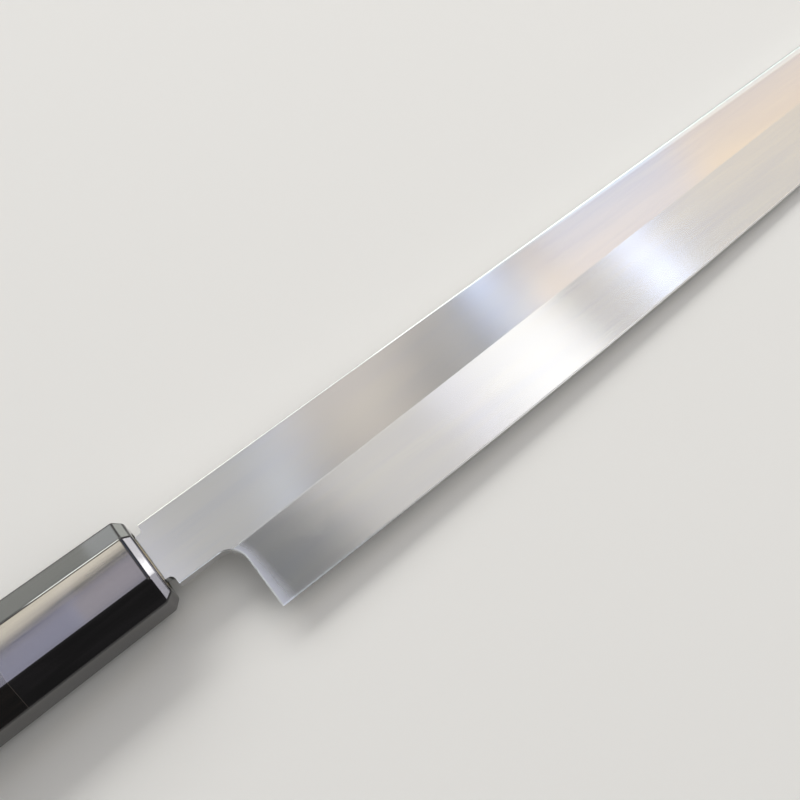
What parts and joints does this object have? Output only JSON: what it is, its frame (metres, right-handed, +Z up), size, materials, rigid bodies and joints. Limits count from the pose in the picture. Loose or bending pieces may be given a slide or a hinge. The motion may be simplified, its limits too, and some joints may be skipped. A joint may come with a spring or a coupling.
{
  "type": "yanagiba knife",
  "caption": "Long narrow slicing knife, bevelled on one side, with a hollow-ground back and an octagonal wooden handle with a horn ferrule.",
  "frame": {"origin": "bottom centre of the box round the knife as it lies at rest on its back, on the ground", "axes": "+X along the knife from handle to point, +Y to the spine side, +Z up, out of the bevelled front face; the knife leans down to its point by 1.58 degrees"},
  "size_m": [0.4168, 0.0388, 0.0246],
  "materials": {
    "blade_steel": "fine-ground and polished, drawn lengthways",
    "buffalo_horn": "polished black horn",
    "ebony": "satin polished ebony",
    "magnolia": "bare turned wood"
  },
  "bodies": {
    "root": {"blade": "blade_steel", "ferrule": "buffalo_horn", "handle": "ebony", "core": "magnolia"}
  },
  "joints": []
}
